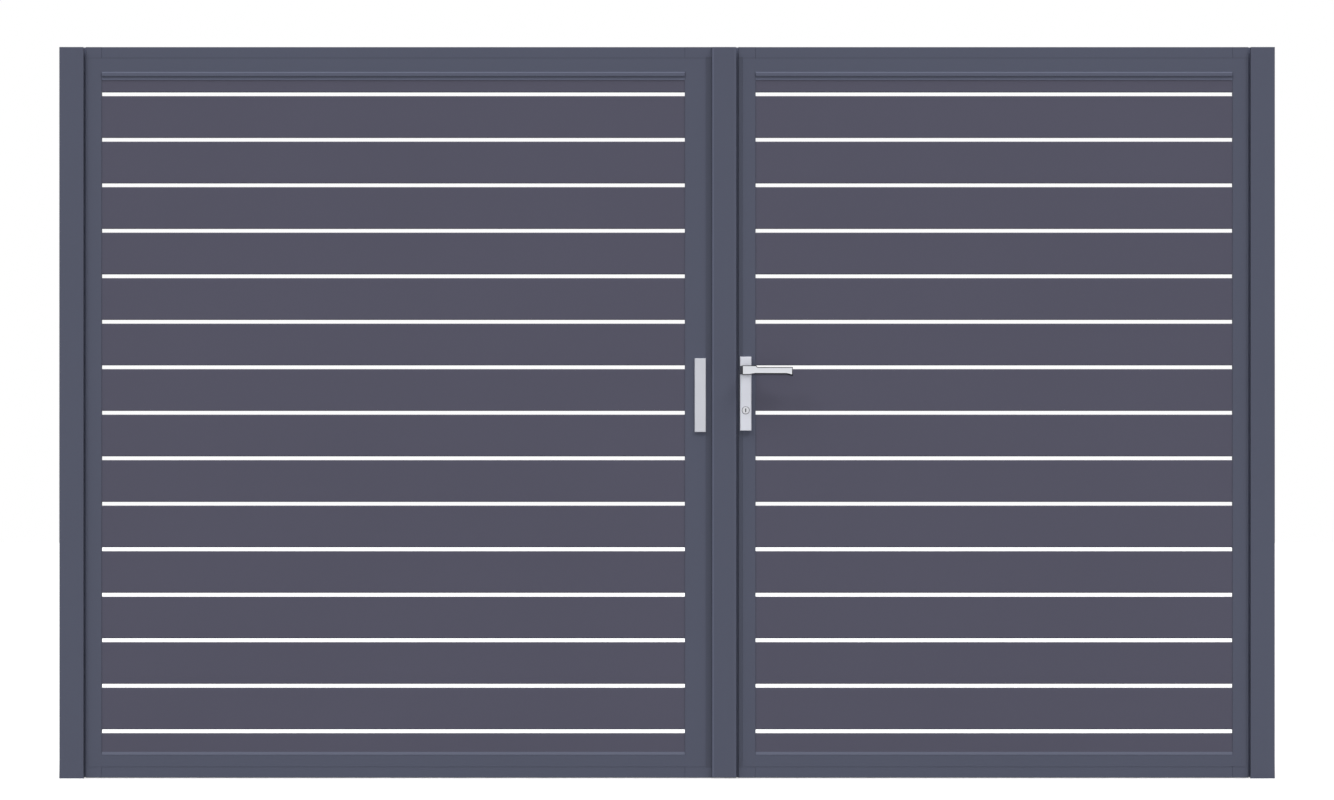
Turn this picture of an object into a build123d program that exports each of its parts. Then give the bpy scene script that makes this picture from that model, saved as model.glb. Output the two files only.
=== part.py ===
from build123d import *
import os

# Double garden gate: two posts, a wide leaf with a meeting strip, a narrow leaf with the lock.
# Millimetres. X runs to the right, Y to the back, Z up. The origin is the centre of the left post's foot.

# overall
gate_height = 1800.0
leaf_gap = 5.0
ground_clearance = 2.0
seat_clearance = 0.4

# posts, hollow tubes with a closed foot and a plastic cap
post_width = 60.0
post_depth = 40.0
post_wall = 3.0
post_corner = 2.5
post_foot_plate = 4.0
cap_plate = 3.0
cap_plug = 14.0

# leaf frame, a tube with a raised band on the front
frame_setback = 12.0
frame_depth = 37.0
frame_wall = 2.2
frame_corner = 0.8
band_raise = 0.6
band_edge = 0.4
field_edge = 1.2
top_margin = 27.0
bottom_margin = 27.0
hinge_margin = 5.0
meeting_margin = 15.0
lock_margin = 10.5
hinge_stile_width = 39.0
meeting_stile_width = 67.0
lock_stile_width = 42.5
top_rail_height = 61.0
bottom_rail_height = 56.0
left_field = 1435.0
right_field = 1173.5
stile_cap_plate = 2.0
stile_cap_plug = 10.0

# slats, hollow and seated in a channel along each stile
slat_height = 103.0
slat_gap = 9.0
slat_thickness = 22.0
slat_wall = 1.6
slat_bevel_height = 2.0
slat_bevel_depth = 1.0
web_rise = 51.5
slat_setback = 1.8
channel_depth = 14.0
slat_seat = 12.5
least_filler = 40.0
filler_bias = 1.5

# beads over the filler slats
top_bead_height = 10.0
bottom_bead_height = 7.4
bead_proud = 3.2
bead_edge = 2.5
bead_lip = 0.6
slope_proud = 0.4
lip_height = 10.0
lip_proud = 1.6

# meeting strip on the wide leaf
strip_width = 60.0
strip_wall = 2.5

# flat bars on the back, which cover the gaps
bar_thickness = 3.0
cover_overlap = 10.0
cover_on_stile = 26.0
stop_overlap = 30.0

# hinges
hinge_inset = 26.0
hinge_standoff = 16.0
knuckle_radius = 9.0
pin_radius = 5.0
pin_clearance = 0.05
pin_head_radius = 7.5
pin_head = 4.0
post_knuckle = 40.0
leaf_knuckle = 40.0
knuckle_clearance = 0.5
post_leaf_thickness = 5.0
post_leaf_reach = 26.0
flap_thickness = 5.0
flap_height = 92.0
flap_neck = 20.0
flap_corner = 5.0
low_hinge_height = 250.0
high_hinge_height = 1550.0

# lock and handle
handle_height = 1005.0
spindle_backset = 18.0
plate_width = 28.0
plate_height = 182.0
plate_thickness = 9.0
plate_edge = 1.4
plate_above_spindle = 33.0
bearing_height = 21.0
bearing_thickness = 3.0
bearing_edge = 0.8
neck_radius = 8.5
neck_clearance = 0.1
neck_length = 36.0
grip_thickness = 11.0
grip_length = 115.4
grip_height = 15.6
grip_drop = 0.4
hub_height = 23.0
hub_overhang = 8.8
hub_length = 24.0
shoulder_length = 26.5
shoulder_slope = 1.5
shoulder_radius = 2.6
end_flare = 3.5
end_length = 14.0
grip_edge = 2.2
grip_back_edge = 1.0
bend_radius = 9.0
spindle_square = 8.0
spindle_socket = 22.0
socket_clearance = 0.05
spindle_hole_radius = 7.0
cylinder_below = 99.0
cylinder_radius = 8.5
cylinder_clearance = 0.1
escutcheon_gap = 1.2
cylinder_proud = 2.5
keyway_width = 2.4
keyway_height = 9.0
keyway_depth = 12.0
forend_width = 20.0
forend_height = 235.0
forend_above_spindle = 62.0
forend_clearance = 0.2
forend_corner = 3.0
latch_slot_width = 13.0
latch_slot_height = 34.0
bolt_slot_height = 36.0
bolt_slot_below = 52.0
bolt_slot_width = 9.0

# plain plate on the wide leaf
blank_width = 27.6
blank_height = 181.5
blank_thickness = 6.0
blank_edge = 1.2
blank_top = 1034.0

# drop bolt on the back of the wide leaf
bolt_rod_radius = 6.0
bolt_rod_length = 420.0
bolt_rod_lift = 30.0
bolt_guide_length = 40.0
bolt_guide_wall = 4.0
bolt_guide_base = 4.0
bolt_guide_flange = 10.0
bolt_low_guide = 60.0
bolt_guide_spacing = 220.0
bolt_clearance = 0.1
bolt_grip_length = 26.0
bolt_grip_radius = 5.0
bolt_grip_above = 60.0

# places that follow from the sizes
post_front = -post_depth / 2
post_back = post_depth / 2
tube_front = post_front + frame_setback
band_front = tube_front - band_raise
frame_back = tube_front + frame_depth
slat_front = tube_front + slat_setback
slat_back = slat_front + slat_thickness
leaf_bottom = ground_clearance
leaf_top = gate_height
left_post_inner = post_width / 2
left_leaf_start = left_post_inner + leaf_gap
left_field_start = left_leaf_start + hinge_stile_width
left_field_end = left_field_start + left_field
strip_start = left_field_end + meeting_stile_width
strip_end = strip_start + strip_width
right_leaf_start = strip_end + leaf_gap
right_field_start = right_leaf_start + lock_stile_width
right_field_end = right_field_start + right_field
right_leaf_end = right_field_end + hinge_stile_width
right_post_inner = right_leaf_end + leaf_gap
right_post_centre = right_post_inner + post_width / 2
rail_top = leaf_bottom + bottom_rail_height
rail_underside = leaf_top - top_rail_height
opening = rail_underside - rail_top
slat_pitch = slat_height + slat_gap
slat_count = int((opening - 2 * least_filler - slat_gap) // slat_pitch)
spare = opening - slat_count * slat_pitch - slat_gap
bottom_filler = spare / 2 + filler_bias
top_filler = spare - bottom_filler
first_slat = rail_top + bottom_filler + slat_gap
hinge_y = post_back + hinge_standoff
left_hinge_x = left_post_inner - hinge_inset
right_hinge_x = right_post_inner + hinge_inset
hinge_heights = [low_hinge_height, high_hinge_height]
spindle_x = right_leaf_start + spindle_backset
cylinder_height = handle_height - cylinder_below
front_plate_face = band_front - plate_thickness
back_plate_seat = frame_back + bar_thickness
back_plate_face = back_plate_seat + plate_thickness


def block(x0, x1, y0, y1, z0, z1):
    return Pos((x0 + x1) / 2, (y0 + y1) / 2, (z0 + z1) / 2) * Box(x1 - x0, y1 - y0, z1 - z0)


def area(x0, x1, y0, y1):
    return Pos((x0 + x1) / 2, (y0 + y1) / 2) * Rectangle(x1 - x0, y1 - y0)


def rounded(x0, x1, y0, y1, radius):
    return Pos((x0 + x1) / 2, (y0 + y1) / 2) * RectangleRounded(x1 - x0, y1 - y0, radius)


def cornered(x0, x1, y0, y1, cut):
    section = area(x0, x1, y0, y1)
    return chamfer(section.vertices(), cut)


def upright(section, z0, z1):
    return extrude(Pos(0, 0, z0) * section, amount=z1 - z0)


def lengthwise(section, x0, x1):
    return extrude(Plane.YZ.offset(x0) * section, amount=x1 - x0)


def across(section, y0, y1):
    return extrude(Plane.XZ.offset(-y1) * section, amount=y1 - y0)


def mirrored(shape, x):
    return mirror(shape, about=Plane.YZ.offset(x))


def bored(shape, x, z, radius):
    return shape - across(Pos(x, z) * Circle(radius), -500, 500)


def save(name, *shapes):
    solids = [solid for shape in shapes for solid in shape.solids()]
    export_step(Compound(children=solids) if len(solids) > 1 else solids[0], "parts/" + name + ".step")


# posts
def tube(x0, x1, y0, y1, wall, corner):
    return rounded(x0, x1, y0, y1, corner) - area(x0 + wall, x1 - wall, y0 + wall, y1 - wall)


def post():
    half = post_width / 2
    solid = rounded(-half, half, post_front, post_back, post_corner)
    foot = upright(solid, 0, post_foot_plate)
    walls = tube(-half, half, post_front, post_back, post_wall, post_corner)
    return foot + upright(walls, post_foot_plate, gate_height - cap_plate)


def tube_cap(x0, x1, y0, y1, wall, corner, plate, plug, top):
    inset = wall + seat_clearance
    cover = upright(cornered(x0, x1, y0, y1, corner / 2), top - plate, top)
    insert = upright(area(x0 + inset, x1 - inset, y0 + inset, y1 - inset), top - plate - plug, top - plate)
    cover = chamfer(cover.faces().sort_by(Axis.Z)[-1].edges(), plate * 0.3)
    return cover + insert


# leaf frame
def stile(start, width, margin, low, high):
    channel_start = start + width - channel_depth
    outline = cornered(start, start + width, tube_front, frame_back, frame_corner)
    channel = area(channel_start, start + width, slat_front - seat_clearance, slat_back + seat_clearance)
    chamber = area(
        start + frame_wall, channel_start - frame_wall, tube_front + frame_wall, frame_back - frame_wall
    )
    body = upright(outline - channel - chamber, low, high)
    band = block(
        start + margin,
        start + width,
        band_front,
        tube_front + frame_wall / 4,
        leaf_bottom + bottom_margin,
        leaf_top - top_margin,
    )
    band = chamfer(band.faces().sort_by(Axis.Y)[0].edges().sort_by(Axis.X)[0], band_edge)
    inner = start + width
    arris = Polyline(
        (inner, band_front), (inner - field_edge, band_front), (inner, band_front + field_edge), close=True
    )
    return body + band - upright(make_face(arris), rail_top, rail_underside)


def stile_caps(start, width):
    channel_start = start + width - channel_depth
    inset = frame_wall + seat_clearance
    outline = cornered(start, start + width, tube_front, frame_back, frame_corner)
    plug = area(start + inset, channel_start - inset, tube_front + inset, frame_back - inset)
    upper = upright(outline, leaf_top - stile_cap_plate, leaf_top)
    upper += upright(plug, leaf_top - stile_cap_plate - stile_cap_plug, leaf_top - stile_cap_plate)
    lower = upright(outline, leaf_bottom, leaf_bottom + stile_cap_plate)
    lower += upright(plug, leaf_bottom + stile_cap_plate, leaf_bottom + stile_cap_plate + stile_cap_plug)
    return [upper, lower]


def rail(low, high, band_low, band_high, start, end):
    outline = cornered(tube_front, frame_back, low, high, frame_corner)
    chamber = area(tube_front + frame_wall, frame_back - frame_wall, low + frame_wall, high - frame_wall)
    band = area(band_front, tube_front + frame_wall, band_low, band_high)
    return lengthwise(outline + band - chamber, start, end)


# slats
def slat_section(low, high, bevel_low, bevel_high, webs):
    cut_low = slat_bevel_depth if bevel_low else 0.0
    cut_high = slat_bevel_depth if bevel_high else 0.0
    corners = [(slat_front + cut_low, low)]
    if bevel_low:
        corners.append((slat_front, low + slat_bevel_height))
    if bevel_high:
        corners.append((slat_front, high - slat_bevel_height))
    corners.append((slat_front + cut_high, high))
    corners.append((slat_back - cut_high, high))
    if bevel_high:
        corners.append((slat_back, high - slat_bevel_height))
    if bevel_low:
        corners.append((slat_back, low + slat_bevel_height))
    corners.append((slat_back - cut_low, low))
    outline = make_face(Polyline(corners, close=True))
    hollow = offset(outline, amount=-slat_wall, kind=Kind.INTERSECTION)
    for web in webs:
        hollow -= area(slat_front, slat_back, web - slat_wall / 2, web + slat_wall / 2)
    return outline - hollow


def slats(start, end):
    section = slat_section(first_slat, first_slat + slat_height, True, True, [first_slat + web_rise])
    one = lengthwise(section, start - slat_seat, end + slat_seat)
    return [Pos(0, 0, index * slat_pitch) * one for index in range(slat_count)]


def filler_slats(start, end):
    low = slat_section(rail_top, rail_top + bottom_filler, False, True, [])
    high = slat_section(rail_underside - top_filler, rail_underside, True, False, [])
    return [lengthwise(section, start - slat_seat, end + slat_seat) for section in (low, high)]


def spacers(start, end):
    placed = []
    low = first_slat - slat_gap
    for index in range(slat_count + 1):
        floor = low + index * slat_pitch
        placed.append(block(start - slat_seat, start - seat_clearance, slat_front, slat_back, floor, floor + slat_gap))
        placed.append(block(end + seat_clearance, end + slat_seat, slat_front, slat_back, floor, floor + slat_gap))
    return placed


def top_beads(start, end):
    low = rail_underside - top_bead_height
    lip_low = low - lip_height
    face = band_front - bead_proud
    lip = slat_front - lip_proud
    front = Polyline(
        (slat_front, rail_underside),
        (face + bead_edge, rail_underside),
        (face, rail_underside - bead_edge),
        (face, low),
        (lip, low),
        (lip, lip_low),
        (slat_front, lip_low),
        close=True,
    )
    back = Polyline(
        (slat_back, rail_underside),
        (frame_back, rail_underside),
        (frame_back, rail_underside - bead_lip),
        (slat_back + bead_lip, low),
        (slat_back, low),
        close=True,
    )
    return [lengthwise(make_face(line), start, end) for line in (front, back)]


def bottom_beads(start, end):
    high = rail_top + bottom_bead_height
    front = Polyline(
        (slat_front, rail_top),
        (band_front - slope_proud, rail_top),
        (band_front - slope_proud, rail_top + bead_lip),
        (slat_front - bead_lip / 2, high),
        (slat_front, high),
        close=True,
    )
    back = Polyline(
        (slat_back, rail_top),
        (frame_back, rail_top),
        (frame_back, rail_top + bead_lip),
        (slat_back + bead_lip, high),
        (slat_back, high),
        close=True,
    )
    return [lengthwise(make_face(line), start, end) for line in (front, back)]


# hinges, drawn for the left side and mirrored for the right
def post_hinges():
    plate = cornered(
        left_hinge_x - post_leaf_reach,
        left_hinge_x + knuckle_radius,
        -leaf_knuckle / 2 - knuckle_clearance - post_knuckle,
        leaf_knuckle / 2 + knuckle_clearance + post_knuckle,
        flap_corner,
    )
    leaf = across(plate, post_back, post_back + post_leaf_thickness)
    foot = area(left_hinge_x - knuckle_radius, left_hinge_x + knuckle_radius, post_back, hinge_y)
    eye = foot + Pos(left_hinge_x, hinge_y) * Circle(knuckle_radius)
    eye -= Pos(left_hinge_x, hinge_y) * Circle(pin_radius + pin_clearance)
    start = leaf_knuckle / 2 + knuckle_clearance
    one = leaf + upright(eye, start, start + post_knuckle) + upright(eye, -start - post_knuckle, -start)
    return [Pos(0, 0, height) * one for height in hinge_heights]


def hinge_pins():
    reach = leaf_knuckle / 2 + knuckle_clearance + post_knuckle
    stem = upright(Circle(pin_radius), -reach, reach)
    head = upright(RegularPolygon(pin_head_radius, 6), reach, reach + pin_head)
    one = Pos(left_hinge_x, hinge_y) * (stem + head)
    return [Pos(0, 0, height) * one for height in hinge_heights]


def leaf_hinges():
    seat = frame_back + bar_thickness
    plate = cornered(
        left_hinge_x + flap_neck,
        left_leaf_start + cover_on_stile,
        -flap_height / 2,
        flap_height / 2,
        flap_corner,
    )
    flap = across(plate, seat, seat + flap_thickness)
    arm = area(left_hinge_x, left_leaf_start + cover_on_stile - flap_corner, seat, seat + flap_thickness)
    eye = arm + Pos(left_hinge_x, hinge_y) * Circle(knuckle_radius)
    eye -= Pos(left_hinge_x, hinge_y) * Circle(pin_radius + pin_clearance)
    one = flap + upright(eye, -leaf_knuckle / 2, leaf_knuckle / 2)
    return [Pos(0, 0, height) * one for height in hinge_heights]


def gap_cover():
    section = area(
        left_post_inner - cover_overlap,
        left_leaf_start + cover_on_stile,
        frame_back,
        frame_back + bar_thickness,
    )
    return upright(section, leaf_bottom, leaf_top)


# handle
def handle_plate():
    outline = Pos(spindle_x, handle_height + plate_above_spindle - plate_height / 2) * Rectangle(
        plate_width, plate_height
    )
    plate = across(outline, front_plate_face, band_front)
    plate = chamfer(plate.faces().sort_by(Axis.Y)[0].edges(), plate_edge)
    plate = bored(plate, spindle_x, handle_height, neck_radius + neck_clearance)
    return bored(plate, spindle_x, cylinder_height, cylinder_radius + escutcheon_gap)


def lever_bearing():
    outline = Pos(spindle_x, handle_height) * Rectangle(plate_width, bearing_height)
    bearing = across(outline, front_plate_face - bearing_thickness, front_plate_face)
    bearing = chamfer(bearing.faces().sort_by(Axis.Y)[0].edges(), bearing_edge)
    return bored(bearing, spindle_x, handle_height, neck_radius + neck_clearance)


def lever():
    top = grip_height / 2 - grip_drop
    under = -grip_height / 2 - grip_drop
    hub_top = hub_height / 2
    corners = [
        (-hub_overhang, -hub_top),
        (-hub_overhang, hub_top),
        (shoulder_length, hub_top),
        (shoulder_length + shoulder_slope, top),
        (grip_length, top),
        (grip_length, under - end_flare),
        (grip_length - end_length, under),
        (hub_length, under),
        (hub_overhang, -hub_top),
    ]
    outline = make_face(Polyline(corners, close=True))
    inner = [spot for spot in outline.vertices() if -hub_overhang < spot.X < grip_length]
    outline = fillet([spot for spot in inner if spot.Y < 0], bend_radius)
    inner = [spot for spot in outline.vertices() if 0 < spot.X < grip_length and spot.Y > 0]
    outline = fillet(inner, shoulder_radius)
    grip_back = front_plate_face - neck_length
    grip_front = grip_back - grip_thickness
    bar = across(Pos(spindle_x, handle_height) * outline, grip_front, grip_back)
    ends = bar.faces().sort_by(Axis.Y)
    bar = fillet(ends[0].edges(), grip_edge)
    bar = chamfer(bar.faces().sort_by(Axis.Y)[-1].edges(), grip_back_edge)
    neck = Pos(spindle_x, handle_height) * Circle(neck_radius)
    stem = across(neck, grip_back - grip_thickness / 2, band_front)
    side = spindle_square + 2 * socket_clearance
    socket = Pos(spindle_x, handle_height) * Rectangle(side, side)
    return bar + stem - across(socket, band_front - spindle_socket - socket_clearance, band_front)


def forend_area(grow, x):
    low = handle_height + forend_above_spindle - forend_height
    middle = (tube_front + frame_back) / 2
    section = Pos(middle, low + forend_height / 2) * Rectangle(forend_width + 2 * grow, forend_height + 2 * grow)
    section = chamfer(section.vertices(), forend_corner + grow)
    return Plane.YZ.offset(x) * section


def side_plate(x):
    plate = extrude(forend_area(0, x), amount=frame_wall)
    middle = (tube_front + frame_back) / 2
    latch = Pos(middle, handle_height) * Rectangle(latch_slot_width, latch_slot_height)
    bolt = Pos(middle, handle_height - bolt_slot_below) * Rectangle(bolt_slot_width, bolt_slot_height)
    plate -= extrude(Plane.YZ.offset(x) * latch, amount=frame_wall)
    plate -= extrude(Plane.YZ.offset(x) * bolt, amount=frame_wall)
    return plate


def lock_cylinder():
    front = front_plate_face - cylinder_proud
    back = back_plate_face + cylinder_proud
    body = across(Pos(spindle_x, cylinder_height) * Circle(cylinder_radius), front, back)
    body = chamfer(body.edges().filter_by(GeomType.CIRCLE), 0.6)
    slot = Pos(spindle_x, cylinder_height) * Rectangle(keyway_width, keyway_height)
    return body - across(slot, front, front + keyway_depth) - across(slot, back - keyway_depth, back)


def main():
    os.makedirs("parts", exist_ok=True)
    middle = right_post_centre / 2

    left_post = post()
    save("left_post", left_post)
    save("right_post", Pos(right_post_centre, 0, 0) * left_post)
    half = post_width / 2
    cap = tube_cap(
        -half, half, post_front, post_back, post_wall, post_corner, cap_plate, cap_plug, gate_height
    )
    save("post_caps", cap, Pos(right_post_centre, 0, 0) * cap)
    save("left_post_hinges", *post_hinges())
    save("right_post_hinges", *[mirrored(shape, middle) for shape in post_hinges()])
    save("hinge_pins", *hinge_pins(), *[mirrored(shape, middle) for shape in hinge_pins()])

    low = leaf_bottom + stile_cap_plate
    high = leaf_top - stile_cap_plate
    hinge_stile = stile(left_leaf_start, hinge_stile_width, hinge_margin, low, high)
    hinge_caps = stile_caps(left_leaf_start, hinge_stile_width)
    meeting_stile = stile(-strip_start, meeting_stile_width, meeting_margin, low, high)
    meeting_caps = stile_caps(-strip_start, meeting_stile_width)
    save("left_leaf_hinge_stile", hinge_stile)
    save("right_leaf_hinge_stile", mirrored(hinge_stile, middle))
    save("left_leaf_meeting_stile", mirrored(meeting_stile, 0))
    save("left_leaf_stile_caps", *hinge_caps, *[mirrored(shape, 0) for shape in meeting_caps])
    lock_caps = stile_caps(right_leaf_start, lock_stile_width)
    save("right_leaf_stile_caps", *lock_caps, *[mirrored(shape, middle) for shape in hinge_caps])

    lock_stile = stile(right_leaf_start, lock_stile_width, lock_margin, low, high)
    lock_stile = bored(lock_stile, spindle_x, handle_height, spindle_hole_radius)
    lock_stile = bored(lock_stile, spindle_x, cylinder_height, cylinder_radius + cylinder_clearance)
    lock_stile -= extrude(forend_area(forend_clearance, right_leaf_start), amount=frame_wall)
    save("right_leaf_lock_stile", lock_stile)

    fields = [("left_leaf", left_field_start, left_field_end), ("right_leaf", right_field_start, right_field_end)]
    for leaf, start, end in fields:
        top = rail(rail_underside, leaf_top, rail_underside, leaf_top - top_margin, start, end)
        bottom = rail(leaf_bottom, rail_top, leaf_bottom + bottom_margin, rail_top, start, end)
        save(leaf + "_top_rail", top)
        save(leaf + "_bottom_rail", bottom)
        save(leaf + "_slats", *slats(start, end))
        save(leaf + "_filler_slats", *filler_slats(start, end))
        save(leaf + "_slat_spacers", *spacers(start, end))
        save(leaf + "_top_beads", *top_beads(start, end))
        save(leaf + "_bottom_beads", *bottom_beads(start, end))

    save("left_leaf_gap_cover", gap_cover())
    save("right_leaf_gap_cover", mirrored(gap_cover(), middle))
    save("left_leaf_hinges", *leaf_hinges())
    save("right_leaf_hinges", *[mirrored(shape, middle) for shape in leaf_hinges()])

    strip = tube(strip_start, strip_end, post_front, post_back, strip_wall, post_corner)
    strip = upright(strip, leaf_bottom + cap_plate, leaf_top - cap_plate)
    strip -= extrude(forend_area(forend_clearance, strip_end - strip_wall), amount=strip_wall)
    save("meeting_strip", strip)
    strip_cap = tube_cap(
        strip_start, strip_end, post_front, post_back, strip_wall, post_corner, cap_plate, cap_plug, leaf_top
    )
    level = Plane.XY.offset((leaf_bottom + leaf_top) / 2)
    save("meeting_strip_caps", strip_cap, mirror(strip_cap, about=level))
    save("keeper_plate", side_plate(strip_end - frame_wall))
    save("lock_forend", side_plate(right_leaf_start))

    blank_end = strip_start - meeting_margin
    blank = block(
        blank_end - blank_width,
        blank_end,
        band_front - blank_thickness,
        band_front,
        blank_top - blank_height,
        blank_top,
    )
    blank = chamfer(blank.faces().sort_by(Axis.Y)[0].edges(), blank_edge)
    save("blank_plate", blank)

    stop_bar = block(
        strip_end - stop_overlap, right_field_start, frame_back, back_plate_seat, leaf_bottom, leaf_top
    )
    stop_bar = bored(stop_bar, spindle_x, handle_height, spindle_hole_radius)
    stop_bar = bored(stop_bar, spindle_x, cylinder_height, cylinder_radius + cylinder_clearance)
    save("right_leaf_stop_bar", stop_bar)

    rod_x = strip_start - meeting_stile_width / 2
    rod_y = frame_back + bolt_guide_base + bolt_rod_radius + bolt_clearance
    rod_low = leaf_bottom + bolt_rod_lift
    rod = upright(Circle(bolt_rod_radius), rod_low, rod_low + bolt_rod_length)
    rod = chamfer(rod.edges().filter_by(GeomType.CIRCLE).sort_by(Axis.Z)[0], 1.0)
    grip_z = rod_low + bolt_rod_length - bolt_grip_above
    rod += across(Pos(0, grip_z) * Circle(bolt_grip_radius), 0, bolt_rod_radius + bolt_grip_length)
    save("drop_bolt", Pos(rod_x, rod_y, 0) * rod)
    outer = bolt_rod_radius + bolt_clearance + bolt_guide_wall
    depth = rod_y - frame_back
    bridge = Circle(outer) + area(-outer, outer, -depth, 0)
    bridge += area(-outer - bolt_guide_flange, outer + bolt_guide_flange, -depth, -depth + bolt_guide_base)
    bridge -= Circle(bolt_rod_radius + bolt_clearance)
    guide = upright(Pos(rod_x, rod_y) * bridge, 0, bolt_guide_length)
    guides = [Pos(0, 0, leaf_bottom + bolt_low_guide + step * bolt_guide_spacing) * guide for step in (0, 1)]
    save("drop_bolt_guides", *guides)

    lock_middle = Plane.XZ.offset(-(front_plate_face + back_plate_face) / 2)
    save("front_handle_plate", handle_plate())
    save("rear_handle_plate", mirror(handle_plate(), about=lock_middle))
    save("lever_bearings", lever_bearing(), mirror(lever_bearing(), about=lock_middle))
    save("lock_cylinder", lock_cylinder())
    save("front_lever", lever())
    save("rear_lever", mirror(lever(), about=lock_middle))
    spindle = Pos(spindle_x, handle_height) * Rectangle(spindle_square, spindle_square)
    save("handle_spindle", across(spindle, band_front - spindle_socket, back_plate_seat + spindle_socket))


main()
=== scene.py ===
import math
import bmesh
import bpy
from mathutils import Matrix, Vector


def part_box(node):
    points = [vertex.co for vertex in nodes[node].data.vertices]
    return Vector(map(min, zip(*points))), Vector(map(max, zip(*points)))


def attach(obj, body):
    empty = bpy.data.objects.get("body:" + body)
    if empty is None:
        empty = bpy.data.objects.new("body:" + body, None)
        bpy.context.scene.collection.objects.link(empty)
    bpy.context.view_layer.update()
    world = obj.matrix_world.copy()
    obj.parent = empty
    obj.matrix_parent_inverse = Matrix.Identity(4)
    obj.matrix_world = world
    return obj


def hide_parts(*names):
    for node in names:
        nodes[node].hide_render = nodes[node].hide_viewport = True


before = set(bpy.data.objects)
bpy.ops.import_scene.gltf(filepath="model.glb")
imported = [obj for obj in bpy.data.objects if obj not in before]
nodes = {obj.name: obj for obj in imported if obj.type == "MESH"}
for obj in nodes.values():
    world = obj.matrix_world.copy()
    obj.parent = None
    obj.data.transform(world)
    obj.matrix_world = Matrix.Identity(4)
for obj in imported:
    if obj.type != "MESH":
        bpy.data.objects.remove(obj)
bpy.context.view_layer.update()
scene = bpy.context.scene
print("frame loaded:", len(nodes), "nodes")


class Wire:
    # a shader socket that takes part in Python sums
    def __init__(self, tree, socket=None):
        self.tree = tree
        self.socket = socket

    def make(self, kind, inputs=None, output=0, **settings):
        node = self.tree.nodes.new(kind)
        for name, value in settings.items():
            setattr(node, name, value)
        for name, value in (inputs or {}).items():
            if isinstance(value, Wire):
                self.tree.links.new(value.socket, node.inputs[name])
            else:
                node.inputs[name].default_value = value
        return Wire(self.tree, node.outputs[output] if len(node.outputs) else None)

    def sum(self, operation, first, second):
        return self.make("ShaderNodeMath", {0: first, 1: second}, operation=operation)

    def __add__(self, other):
        return self.sum("ADD", self, other)

    def __radd__(self, other):
        return self.sum("ADD", other, self)

    def __sub__(self, other):
        return self.sum("SUBTRACT", self, other)

    def __rsub__(self, other):
        return self.sum("SUBTRACT", other, self)

    def __mul__(self, other):
        return self.sum("MULTIPLY", self, other)

    def __rmul__(self, other):
        return self.sum("MULTIPLY", other, self)


midTone = 0.5  # the middle of a noise, and of a mix of two tones
mixFirst, mixSecond, mixResult = 6, 7, 2  # places of the colour sockets on a Mix node


def startFinish(name):
    finish = bpy.data.materials.new(name)
    finish.use_nodes = True
    finish.node_tree.nodes.clear()
    return finish, Wire(finish.node_tree)


def endFinish(wire, sockets):
    shader = wire.make("ShaderNodeBsdfPrincipled", sockets)
    wire.make("ShaderNodeOutputMaterial", {"Surface": shader})


def noise(wire, scale, detail, stretch=(1, 1, 1)):
    place = wire.make("ShaderNodeTexCoord", output="Object")
    place = wire.make("ShaderNodeMapping", {"Vector": place, "Scale": stretch})
    return wire.make("ShaderNodeTexNoise", {"Vector": place, "Scale": scale, "Detail": detail}, output="Fac")


def twoTone(wire, colour, spread, tone):
    # the colour itself at the middle tone, darker below it and lighter above
    dark = tuple(channel * (1 - spread) for channel in colour) + (1,)
    light = tuple(min(channel * (1 + spread), 1) for channel in colour) + (1,)
    sockets = {"Factor": tone, mixFirst: dark, mixSecond: light}
    return wire.make("ShaderNodeMix", sockets, output=mixResult, data_type="RGBA")


# marks: painted light and shade, places where a coat is drawn lighter or darker, each a share of its tone and
# the limits that it fills
markSkin = 0.0003  # how far a mark reaches past the face that it is on
gateMiddle = 0.0  # the depth of the posts' middle, behind the front faces

# meeting strip: painted highlights along its two front edges
stripLook = {"edge": 0.0046, "depth": 0.0025, "leftHighlight": 0.30, "rightHighlight": 0.12}
stripLow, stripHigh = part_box("meeting_strip")
stripFront = (stripLow.y - markSkin, stripLow.y + stripLook["depth"])
leftEdge = (stripLow.x - markSkin, stripLow.x + stripLook["edge"])
rightEdge = (stripHigh.x - stripLook["edge"], stripHigh.x + markSkin)
stripHighlightMarks = [
    (stripLook["leftHighlight"], {"X": leftEdge, "Y": stripFront}),
    (stripLook["rightHighlight"], {"X": rightEdge, "Y": stripFront}),
]

# stiles beside the strip: painted shade on the sunk margin, short of both ends
marginLook = {
    "shade": -0.18, "from": 0.0003, "to": 0.0016, "ends": 0.022, "leftWidth": 0.015, "rightWidth": 0.0105,
}
stileLow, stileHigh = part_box("left_leaf_meeting_stile")
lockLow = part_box("right_leaf_lock_stile")[0]
marginFace = (stileLow.y + marginLook["from"], stileLow.y + marginLook["to"])
marginRun = (stileLow.z + marginLook["ends"], stileHigh.z - marginLook["ends"])
margins = (
    (stileHigh.x - marginLook["leftWidth"], marginLook["leftWidth"]),
    (lockLow.x, marginLook["rightWidth"]),
)
stileShadeMarks = [
    (marginLook["shade"], {"X": (start, start + width), "Y": marginFace, "Z": marginRun})
    for start, width in margins
]

# top rail: a painted shade line along the step under its raised band, which runs on over the stiles
stepLook = {"shade": -0.10, "near": 0.0245, "far": 0.0295}
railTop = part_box("left_leaf_top_rail")[1].z
stepFace = (stileLow.y - markSkin, gateMiddle)
stepRun = (railTop - stepLook["far"], railTop - stepLook["near"])
railShadeMarks = [(stepLook["shade"], {"Y": stepFace, "Z": stepRun})]
stileShadeMarks += railShadeMarks

# flat bars behind the gaps: painted light on the front face, which lightens the shaded gaps in front of it
barLook = {"light": 0.70}
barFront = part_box("left_leaf_gap_cover")[0].y
barLightMarks = [(barLook["light"], {"Y": (barFront - markSkin, barFront + markSkin)})]
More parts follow.
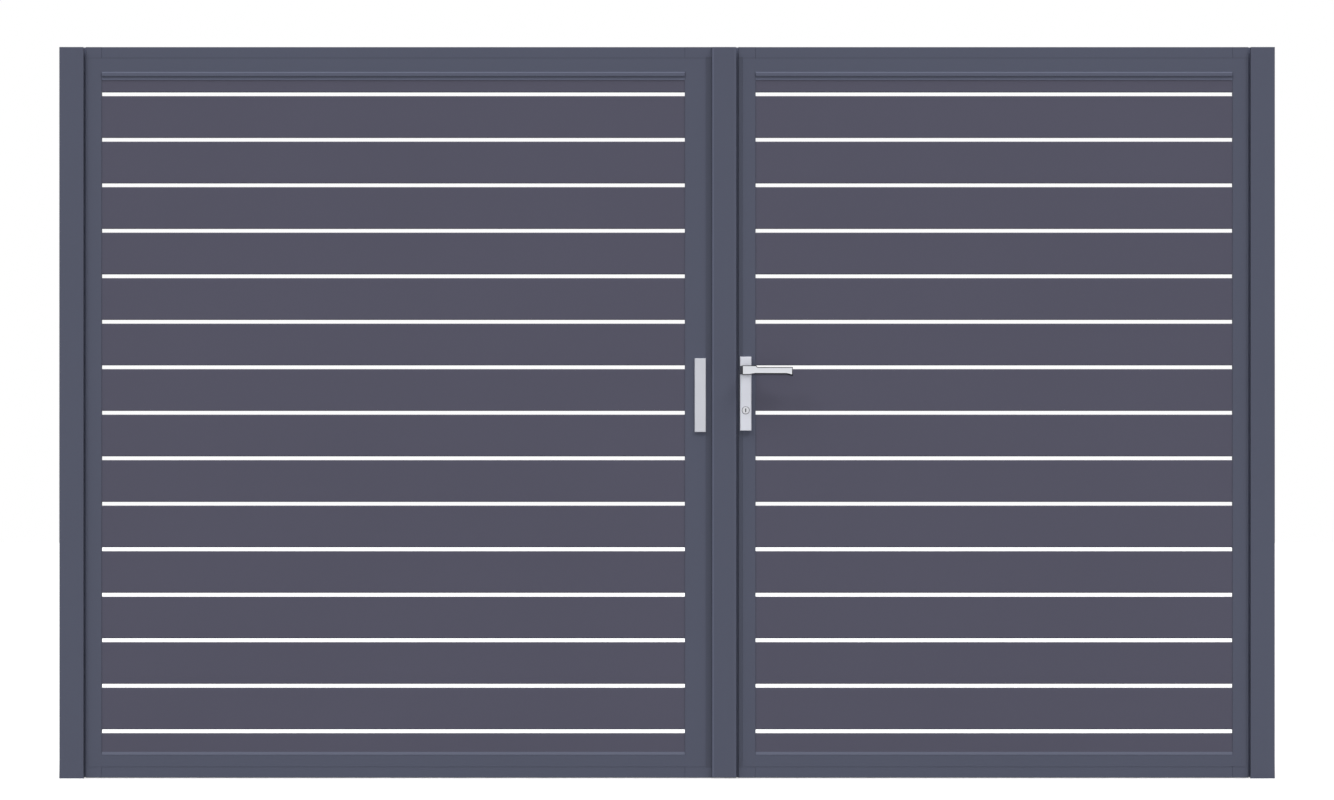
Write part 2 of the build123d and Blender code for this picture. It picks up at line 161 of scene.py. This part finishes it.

# top beads: painted highlights on the upper arris and on the lower lip, and a band of painted shadow of the
# bead on the top of the lip
beadLook = {
    "arris": 0.0027, "arrisHighlight": 0.14, "lip": 0.0049, "lipHighlight": 0.27,
    "beadShadowBand": (0.0073, 0.0100), "beadShadowShare": -0.16,
}
beadLow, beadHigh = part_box("left_leaf_top_beads")
beadFront = (beadLow.y - markSkin, gateMiddle)
beadHighlightShadowMarks = [
    (beadLook["arrisHighlight"], {"Z": (beadHigh.z - beadLook["arris"], beadHigh.z), "Y": beadFront}),
    (beadLook["lipHighlight"], {"Z": (beadLow.z, beadLow.z + beadLook["lip"]), "Y": beadFront}),
    (beadLook["beadShadowShare"], {"Z": tuple(beadLow.z + rise for rise in beadLook["beadShadowBand"]), "Y": beadFront}),
]

# powder coat and plastic: a cloudy tone, a fine grain and a slight orange peel
coatLook = {
    "spread": 0.8, "cloudScale": 2.2, "cloudDetail": 3, "grainScale": 900, "grainDetail": 2,
    "peelScale": 420, "peelDetail": 2, "peelStrength": 0.22, "peelDepth": 0.0004,
    "roughGrain": 0.20, "shine": 0.25,
}
framePaint = {"colour": (0.0670, 0.0735, 0.1075), "cloud": 0.05, "grain": 0.11, "roughness": 0.46}
# the beads wear a lighter copy of the frame's colour: painted light where they catch the light from above
litBeadPaint = {"colour": (0.0790, 0.0865, 0.1260), "cloud": 0.05, "grain": 0.11, "roughness": 0.44}
coats = {
    "frameCoat": framePaint,
    "stripCoatPaintedHighlights": {**framePaint, "marks": stripHighlightMarks},
    "stileCoatPaintedShade": {**framePaint, "marks": stileShadeMarks},
    "railCoatPaintedShade": {**framePaint, "marks": railShadeMarks},
    "barCoatPaintedLight": {**framePaint, "marks": barLightMarks},
    "slatCoat": {"colour": (0.0670, 0.0655, 0.0960), "cloud": 0.06, "grain": 0.11, "roughness": 0.46},
    "beadCoatPaintedLight": litBeadPaint,
    "topBeadCoatPaintedLightShade": {**litBeadPaint, "marks": beadHighlightShadowMarks},
    "fittingCoat": {"colour": (0.062, 0.067, 0.096), "cloud": 0.04, "grain": 0.12, "roughness": 0.42},
    "capPlastic": {"colour": (0.0670, 0.0735, 0.1060), "cloud": 0.03, "grain": 0.08, "roughness": 0.55},
    "spacerPlastic": {"colour": (0.020, 0.020, 0.023), "cloud": 0.03, "grain": 0.10, "roughness": 0.60},
    # the lever bearings' near-black plastic also stands in for the hub's shadow on the handle plate: painted
    # shade
    "bearingPlasticAndShade": {"colour": (0.050, 0.052, 0.064), "cloud": 0.03, "grain": 0.10, "roughness": 0.60},
}


def inMark(wire, limits):
    # 1 between the limits on every axis that they name, 0 outside
    place = wire.make("ShaderNodeTexCoord", output="Object")
    inside = 1.0
    for axis, (start, end) in limits.items():
        along = wire.make("ShaderNodeSeparateXYZ", {"Vector": place}, output=axis)
        inside = wire.sum("GREATER_THAN", along, start) * wire.sum("LESS_THAN", along, end) * inside
    return inside


def coatFinish(name, look):
    finish, wire = startFinish(name)
    cloud = noise(wire, coatLook["cloudScale"], coatLook["cloudDetail"])
    grain = noise(wire, coatLook["grainScale"], coatLook["grainDetail"])
    peel = noise(wire, coatLook["peelScale"], coatLook["peelDetail"])
    tone = (cloud - midTone) * look["cloud"] + (grain - midTone) * look["grain"] + midTone
    # painted light and shade: each mark moves the tone up or down inside its limits
    for share, limits in look.get("marks", []):
        tone = tone + inMark(wire, limits) * (share / (2 * coatLook["spread"]))  # the mix is two spreads wide
    relief = {"Height": peel, "Strength": coatLook["peelStrength"], "Distance": coatLook["peelDepth"]}
    endFinish(wire, {
        "Base Color": twoTone(wire, look["colour"], coatLook["spread"], tone),
        "Roughness": look["roughness"] + (grain - midTone) * coatLook["roughGrain"],
        "Normal": wire.make("ShaderNodeBump", relief),
        "Specular IOR Level": coatLook["shine"],
    })
    return finish


# bare metals: fine brush lines along one axis, a slight change of tone
metalLook = {
    "spread": 0.3, "lineScale": 1400, "lineDetail": 3, "cloudScale": 18, "cloudDetail": 2, "cloud": 0.08,
    "lineStrength": 0.06, "lineDepth": 0.0002, "roughLines": 0.16, "metal": 1.0,
}
plateBrush = {"brush": (1, 1, 0.04), "roughness": 0.46, "lines": 0.05, "metal": 0.4}
metals = {
    "plateSilver": {"colour": (0.59, 0.60, 0.66), **plateBrush},
    "blankSilver": {"colour": (0.50, 0.51, 0.555), **plateBrush},
    "leverSilver": {
        "colour": (0.60, 0.61, 0.645), "brush": (0.04, 1, 1), "roughness": 0.34, "lines": 0.04, "metal": 0.6,
    },
    "pinSteel": {"colour": (0.50, 0.50, 0.52), "brush": (1, 1, 12), "roughness": 0.32, "lines": 0.06},
    "lockSteel": {"colour": (0.55, 0.55, 0.56), "brush": (1, 1, 0.05), "roughness": 0.36, "lines": 0.07},
    # the levers' rounded sides: near black, a painted dark reflection and, under the grip, a painted shadow
    "leverSidesPaintedShade": {"colour": (0.022, 0.022, 0.026), "brush": (0.04, 1, 1), "roughness": 0.50, "lines": 0.04},
    # the keyway: near black, painted shade of the deep slot
    "keywayPaintedShade": {"colour": (0.020, 0.020, 0.022), "brush": (1, 1, 1), "roughness": 0.50, "lines": 0.04},
    "cylinderNickel": {
        "colour": (0.58, 0.585, 0.62), "brush": (1, 0.1, 1), "roughness": 0.30, "lines": 0.04, "metal": 0.6,
    },
    "screwSteel": {"colour": (0.50, 0.50, 0.51), "brush": (1, 1, 1), "roughness": 0.34, "lines": 0.05},
}


def metalFinish(name, look):
    finish, wire = startFinish(name)
    lines = noise(wire, metalLook["lineScale"], metalLook["lineDetail"], look["brush"])
    cloud = noise(wire, metalLook["cloudScale"], metalLook["cloudDetail"])
    tone = (lines - midTone) * (2 * look["lines"]) + (cloud - midTone) * metalLook["cloud"] + midTone
    relief = {"Height": lines, "Strength": metalLook["lineStrength"], "Distance": metalLook["lineDepth"]}
    endFinish(wire, {
        "Base Color": twoTone(wire, look["colour"], metalLook["spread"], tone),
        "Roughness": look["roughness"] + (lines - midTone) * metalLook["roughLines"],
        "Metallic": look.get("metal", metalLook["metal"]),
        "Normal": wire.make("ShaderNodeBump", relief),
    })
    return finish


finishes = {name: coatFinish(name, look) for name, look in coats.items()}
finishes.update({name: metalFinish(name, look) for name, look in metals.items()})
print("finishes made:", len(finishes))

# which finish each CAD node wears, by words in its name; the first that fits holds
nodeFinishes = [
    ("spacers", "spacerPlastic"),
    ("bearings", "bearingPlasticAndShade"),
    ("lever", "leverSilver"),
    ("caps", "capPlastic"),
    ("pins", "pinSteel"),
    ("cylinder", "cylinderNickel"),
    ("forend", "lockSteel"),
    ("keeper", "lockSteel"),
    ("spindle", "lockSteel"),
    ("handle_plate", "plateSilver"),
    ("blank_plate", "blankSilver"),
    ("hinges", "fittingCoat"),
    ("guides", "fittingCoat"),
    ("drop_bolt", "pinSteel"),
    ("slats", "slatCoat"),
    ("top_beads", "topBeadCoatPaintedLightShade"),
    ("beads", "beadCoatPaintedLight"),
    ("meeting_strip", "stripCoatPaintedHighlights"),
    ("meeting_stile", "stileCoatPaintedShade"),
    ("lock_stile", "stileCoatPaintedShade"),
    ("hinge_stile", "railCoatPaintedShade"),
    ("top_rail", "railCoatPaintedShade"),
    ("gap_cover", "barCoatPaintedLight"),
    ("stop_bar", "barCoatPaintedLight"),
    ("", "frameCoat"),
]
for name, node in nodes.items():
    wanted = next(finish for word, finish in nodeFinishes if word in name)
    node.data.materials.clear()
    node.data.materials.append(finishes[wanted])
print("CAD nodes finished")

weldReach = 0.00001  # corners closer than this are one


def addPiece(name, shape, body, slot, *wanted):
    mesh = bpy.data.meshes.new(name)
    shape.to_mesh(mesh)
    shape.free()
    for finish in wanted:
        mesh.materials.append(finishes[finish])
    piece = bpy.data.objects.new(name, mesh)
    scene.collection.objects.link(piece)
    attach(piece, body)
    return piece


def smoothFaces(shape, corner):
    # round stretches shade as one, edges that turn more than the corner stay crisp
    for face in shape.faces:
        face.smooth = True
    for edge in shape.edges:
        edge.smooth = len(edge.link_faces) == 2 and edge.calc_face_angle(0) < corner


def copyNode(name, corner):
    shape = bmesh.new()
    shape.from_mesh(nodes[name].data)
    bmesh.ops.remove_doubles(shape, verts=shape.verts, dist=weldReach)
    smoothFaces(shape, corner)
    return shape


# levers: the CAD shape with bright flats and near-black rounded sides, a painted dark reflection; the sides
# hang a little lower under the grip as a painted shadow of the grip
leverLook = {
    "corner": math.radians(35), "flat": 0.985,  # a face this square to the depth is a bright flat
    "below": 0.005,  # corners this far under the spindle's middle drop
    "hubEnd": 0.018, "gripStart": 0.040,  # the drop grows from the first to the second
    "faceDrop": 0.0011, "sideDrop": 0.0026, "rounding": 0.0022,  # at the flat, and behind its rounding
    "skin": 0.0001, "runningGap": 0.0003,  # room to turn between the neck and the leaf
}
spindleLow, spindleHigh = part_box("handle_spindle")
handleHeight = (spindleLow.z + spindleHigh.z) / 2
for side in ("front", "rear"):
    shape = copyNode(side + "_lever", leverLook["corner"])
    low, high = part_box(side + "_lever")
    flatFace, neckEnd = (low.y, high.y) if side == "front" else (high.y, low.y)
    outward = math.copysign(leverLook["runningGap"], flatFace - neckEnd)
    for vert in shape.verts:
        if abs(vert.co.y - neckEnd) < leverLook["skin"]:
            vert.co.y += outward
        if vert.co.z < handleHeight - leverLook["below"]:
            along = (vert.co.x - low.x - leverLook["hubEnd"]) / (leverLook["gripStart"] - leverLook["hubEnd"])
            inward = min(abs(vert.co.y - flatFace) / leverLook["rounding"], 1)
            drop = leverLook["faceDrop"] + (leverLook["sideDrop"] - leverLook["faceDrop"]) * inward
            vert.co.z -= drop * min(max(along, 0), 1)
    shape.normal_update()
    for face in shape.faces:
        face.material_index = 0 if abs(face.normal.y) > leverLook["flat"] else 1
    lever = addPiece(side + "_lever_dressed", shape, "handle", "satin_silver", "leverSilver", "leverSidesPaintedShade")
    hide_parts(side + "_lever")
print("levers dressed")

# lock cylinder: the CAD shape with its keyway painted near black, painted shade of the deep slot
cylinderLook = {"keyhole": 0.7, "skin": 0.0002, "corner": math.radians(35)}
low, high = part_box("lock_cylinder")
centre = (low + high) / 2
keyReach = (high.z - low.z) / 2 * cylinderLook["keyhole"]
shape = copyNode("lock_cylinder", cylinderLook["corner"])
for face in shape.faces:
    spot = face.calc_center_median()
    inner = math.hypot(spot.x - centre.x, spot.z - centre.z) < keyReach
    sunk = low.y + cylinderLook["skin"] < spot.y < high.y - cylinderLook["skin"]
    face.material_index = 1 if inner and sunk else 0
cylinder = addPiece(
    "lock_cylinder_dressed", shape, "right_leaf", "nickel_cylinder", "cylinderNickel", "keywayPaintedShade"
)
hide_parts("lock_cylinder")
print("lock cylinder dressed")

# screws and rivets, each drawn at the origin facing up, then turned and set in place
screwLook = {
    "radius": 0.0044, "height": 0.0026, "taper": 0.82, "sides": 18, "socket": 0.0020, "depth": 0.0014,
    "slot": "stainless", "finish": "screwSteel",
}
flushLook = {
    **screwLook, "radius": 0.0034, "height": 0.0004, "taper": 0.92, "socket": 0.0016, "depth": 0.0003,
}
rivetLook = {
    "radius": 0.0042, "height": 0.0019, "sides": 18, "steps": 4,
    "slot": "anthracite_fittings", "finish": "fittingCoat",
}
fastenerCorner = math.radians(38)
backward = Matrix.Rotation(-math.pi / 2, 4, "X")
rightward = Matrix.Rotation(math.pi / 2, 4, "Y")
leftward = Matrix.Rotation(-math.pi / 2, 4, "Y")


def addCone(shape, place, turn, sides, radius, topRadius, height):
    # a short cone that stands on the place; its top face and the way that it faces come back
    lift = Matrix.Translation((0, 0, height / 2))
    made = bmesh.ops.create_cone(
        shape,
        cap_ends=True,
        segments=sides,
        radius1=radius,
        radius2=topRadius,
        depth=height,
        matrix=Matrix.Translation(place) @ turn @ lift,
    )
    facing = turn.to_3x3() @ Vector((0, 0, 1))
    ends = {face for vert in made["verts"] for face in vert.link_faces if len(face.verts) == sides}
    return max(ends, key=lambda face: face.calc_center_median().dot(facing)), facing


def addScrew(shape, place, turn, look):
    # a tapered head with a round socket sunk in its top
    topRadius = look["radius"] * look["taper"]
    top, facing = addCone(shape, place, turn, look["sides"], look["radius"], topRadius, look["height"])
    bmesh.ops.inset_region(shape, faces=[top], thickness=topRadius - look["socket"], use_even_offset=True)
    sunk = bmesh.ops.extrude_discrete_faces(shape, faces=[top])["faces"][0]
    bmesh.ops.translate(shape, verts=sunk.verts, vec=facing * -look["depth"])


def addRivet(shape, place, turn, look):
    # a domed head: a low cone that steps in and up, as a quarter of an oval does, to a point
    angles = [math.pi / 2 * step / look["steps"] for step in range(look["steps"] + 1)]
    radii = [look["radius"] * math.cos(angle) for angle in angles]
    rises = [look["height"] * math.sin(angle) for angle in angles]
    flatShare = math.cos(math.pi / look["sides"])  # how near the flats are, by the radius at the corners
    top, facing = addCone(shape, place, turn, look["sides"], radii[0], radii[1], rises[1])
    for step in range(1, look["steps"] - 1):
        inward = (radii[step] - radii[step + 1]) * flatShare
        bmesh.ops.inset_region(shape, faces=[top], thickness=inward, use_even_offset=True)
        bmesh.ops.translate(shape, verts=top.verts, vec=facing * (rises[step + 1] - rises[step]))
    tip = bmesh.ops.poke(shape, faces=[top])["verts"]
    bmesh.ops.translate(shape, verts=tip, vec=facing * (rises[-1] - rises[-2]))


def fasten(name, body, add, look, turn, places):
    shape = bmesh.new()
    for place in places:
        add(shape, place, turn, look)
    bmesh.ops.recalc_face_normals(shape, faces=shape.faces)
    smoothFaces(shape, fastenerCorner)
    addPiece(name, shape, body, look["slot"], look["finish"])


# hinge screws: three in each post plate, four in each flap on the leaf
hingeFix = {
    "reach": 0.0605,  # from a hinge's end to its middle
    "postPlate": 0.005, "postInset": 0.0085, "postRows": (-0.044, 0.0, 0.044),
    "flap": 0.005, "flapColumns": (0.009, 0.026), "flapRows": (-0.034, 0.034),
}
for side, sign in (("left", 1), ("right", -1)):
    low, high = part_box(side + "_post_hinges")
    heights = (low.z + hingeFix["reach"], high.z - hingeFix["reach"])
    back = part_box(side + "_post")[1].y + hingeFix["postPlate"]
    outer = low.x if sign > 0 else high.x
    column = outer + sign * hingeFix["postInset"]
    places = [(column, back, height + row) for height in heights for row in hingeFix["postRows"]]
    fasten(side + "_post_hinge_screws", "posts", addScrew, screwLook, backward, places)
    coverLow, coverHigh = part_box(side + "_leaf_gap_cover")
    back = coverHigh.y + hingeFix["flap"]
    edge = coverHigh.x if sign > 0 else coverLow.x
    columns = [edge - sign * inset for inset in hingeFix["flapColumns"]]
    places = [(x, back, height + row) for height in heights for row in hingeFix["flapRows"] for x in columns]
    fasten(side + "_flap_screws", side + "_leaf", addScrew, screwLook, backward, places)

# rivets down the flat bars on the back, clear of the hinge flaps and the handle plate
barFix = {"first": 0.118, "step": 0.223, "count": 8, "coverInset": 0.013, "stopInset": 0.0215}
rivetHeights = [barFix["first"] + barFix["step"] * index for index in range(barFix["count"])]
plateLow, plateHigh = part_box("rear_handle_plate")
bars = {
    "left_leaf_gap_cover": ("left_leaf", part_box("left_leaf_gap_cover")[1].x - barFix["coverInset"]),
    "right_leaf_gap_cover": ("right_leaf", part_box("right_leaf_gap_cover")[0].x + barFix["coverInset"]),
    "right_leaf_stop_bar": ("right_leaf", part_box("right_leaf_stop_bar")[1].x - barFix["stopInset"]),
}
for bar, (body, column) in bars.items():
    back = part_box(bar)[1].y
    heights = rivetHeights
    if "stop" in bar:
        heights = [height for height in rivetHeights if not plateLow.z < height < plateHigh.z]
    places = [(column, back, height) for height in heights]
    fasten(bar + "_rivets", body, addRivet, rivetLook, backward, places)

# screws of the rear handle plate, the forend, the keeper and the drop bolt guides
lockFix = {
    "plateInset": 0.0115, "plateFace": 0.009, "endInset": 0.012,
    "guideFlange": 0.005, "guideBase": 0.004, "guideLength": 0.040,
}
column = (plateLow.x + plateHigh.x) / 2
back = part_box("right_leaf_stop_bar")[1].y + lockFix["plateFace"]
heights = (plateLow.z + lockFix["plateInset"], plateHigh.z - lockFix["plateInset"])
places = [(column, back, height) for height in heights]
fasten("rear_plate_screws", "right_leaf", addScrew, flushLook, backward, places)
for name, body, turn in (("lock_forend", "right_leaf", leftward), ("keeper_plate", "left_leaf", rightward)):
    low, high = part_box(name)
    front = low.x if turn is leftward else high.x
    heights = (low.z + lockFix["endInset"], high.z - lockFix["endInset"])
    places = [(front, (low.y + high.y) / 2, height) for height in heights]
    fasten(name + "_screws", body, addScrew, flushLook, turn, places)
low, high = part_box("drop_bolt_guides")
back = low.y + lockFix["guideBase"]
columns = (low.x + lockFix["guideFlange"], high.x - lockFix["guideFlange"])
heights = (low.z + lockFix["guideLength"] / 2, high.z - lockFix["guideLength"] / 2)
places = [(x, back, height) for x in columns for height in heights]
fasten("guide_screws", "left_leaf", addScrew, screwLook, backward, places)
print("fasteners set")

# latch and bolt, flush in the slots of the forend
boltLook = {
    "latch": (0.0124, 0.0334), "bolt": (0.0084, 0.0354), "boltBelow": 0.052,
    "sunk": 0.0003, "length": 0.011, "rounding": 0.0005, "steps": 2,
}
low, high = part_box("lock_forend")
shape = bmesh.new()
for key, height in (("latch", handleHeight), ("bolt", handleHeight - boltLook["boltBelow"])):
    made = bmesh.ops.create_cube(shape, size=1)
    wide, tall = boltLook[key]
    bmesh.ops.scale(shape, vec=(boltLook["length"], wide, tall), verts=made["verts"])
    place = (low.x + boltLook["sunk"] + boltLook["length"] / 2, (low.y + high.y) / 2, height)
    bmesh.ops.translate(shape, vec=place, verts=made["verts"])
bmesh.ops.bevel(
    shape,
    geom=shape.edges,
    offset=boltLook["rounding"],
    segments=boltLook["steps"],
    profile=0.5,
    affect="EDGES",
    material=-1,
)
addPiece("latch_and_bolt", shape, "right_leaf", "stainless", "screwSteel")
print("latch and bolt set")

# camera: straight on, far away, as the photograph shows no convergence
shot = {
    "lens": 400.0, "sensor": 36.0,  # millimetres
    "width": 3.283, "aim": (1.4653, -0.011, 0.9314),  # what the picture spans at the gate, and its middle
    "clipStart": 0.1, "clipReach": 4,  # metres, and camera distances
}
distance = shot["lens"] * shot["width"] / shot["sensor"]
view = bpy.data.cameras.new("camera")
view.lens = shot["lens"]
view.sensor_width = shot["sensor"]
view.sensor_fit = "HORIZONTAL"
view.clip_start = shot["clipStart"]
view.clip_end = distance * shot["clipReach"]
camera = bpy.data.objects.new("camera", view)
camera.location = Vector(shot["aim"]) - Vector((0, distance, 0))
camera.rotation_euler = (math.pi / 2, 0, 0)
scene.collection.objects.link(camera)
scene.camera = camera
print("camera set")

# studio: white to look at, with a lamp by the camera, soft lamps above on both sides and one behind
studio = {
    "worldLight": 0.30, "floorBounce": 0.28, "floorSeen": 1.0, "floorGlow": 0.10,
    "floorReach": 60.0, "lampDistance": 6.0,
}
lamps = {
    "frontLamp": {"turn": 0.0, "lift": 3.5, "strength": 0.8, "softness": 3.0, "shine": False},
    "rightLamp": {"turn": 48.0, "lift": 54.0, "strength": 1.75, "softness": 28.0, "shine": True},
    "leftLamp": {"turn": -48.0, "lift": 54.0, "strength": 1.75, "softness": 28.0, "shine": True},
    "backLamp": {"turn": 165.0, "lift": 24.0, "strength": 1.6, "softness": 30.0, "shine": True},
}
white = (1, 1, 1, 1)


def plainSight(wire):
    # 1 where the camera, a reflection or a clear piece looks at the surface, 0 where light only bounces
    seen = wire.make("ShaderNodeLightPath", output="Is Camera Ray")
    shine = wire.make("ShaderNodeLightPath", output="Is Glossy Ray")
    through = wire.make("ShaderNodeLightPath", output="Is Transmission Ray")
    return wire.sum("MAXIMUM", wire.sum("MAXIMUM", seen, shine), through)


world = bpy.data.worlds.new("studio")
scene.world = world
world.use_nodes = True
world.node_tree.nodes.clear()
air = Wire(world.node_tree)
strength = plainSight(air) * (1 - studio["worldLight"]) + studio["worldLight"]
glow = air.make("ShaderNodeBackground", {"Color": white, "Strength": strength})
air.make("ShaderNodeOutputWorld", {"Surface": glow})

for name, lamp in lamps.items():
    light = bpy.data.lights.new(name, "SUN")
    light.energy = lamp["strength"]
    light.angle = math.radians(lamp["softness"])
    turn = math.radians(lamp["turn"])
    lift = math.radians(lamp["lift"])
    towards = Vector((math.sin(turn) * math.cos(lift), -math.cos(turn) * math.cos(lift), math.sin(lift)))
    lampObject = bpy.data.objects.new(name, light)
    lampObject.location = towards * studio["lampDistance"]
    lampObject.rotation_euler = towards.to_track_quat("Z", "Y").to_euler()
    lampObject.visible_glossy = lamp["shine"]
    scene.collection.objects.link(lampObject)

floorShape = bmesh.new()
bmesh.ops.create_grid(floorShape, x_segments=1, y_segments=1, size=studio["floorReach"])
floorMesh = bpy.data.meshes.new("floor")
floorShape.to_mesh(floorMesh)
floorShape.free()
floor = bpy.data.objects.new("floor", floorMesh)
scene.collection.objects.link(floor)
floorFinish, wire = startFinish("floorWhite")
sight = plainSight(wire)
tone = sight * (studio["floorSeen"] - studio["floorBounce"]) + studio["floorBounce"]
floorColour = wire.make("ShaderNodeCombineColor", {0: tone, 1: tone, 2: tone})
matt = wire.make("ShaderNodeBsdfDiffuse", {"Color": floorColour})
haze = wire.make("ShaderNodeEmission", {"Color": white, "Strength": sight * studio["floorGlow"]})
surface = wire.make("ShaderNodeAddShader", {0: matt, 1: haze})
wire.make("ShaderNodeOutputMaterial", {"Surface": surface})
floorMesh.materials.append(floorFinish)
print("studio ready")

scene.view_settings.view_transform = "Standard"
print("done")
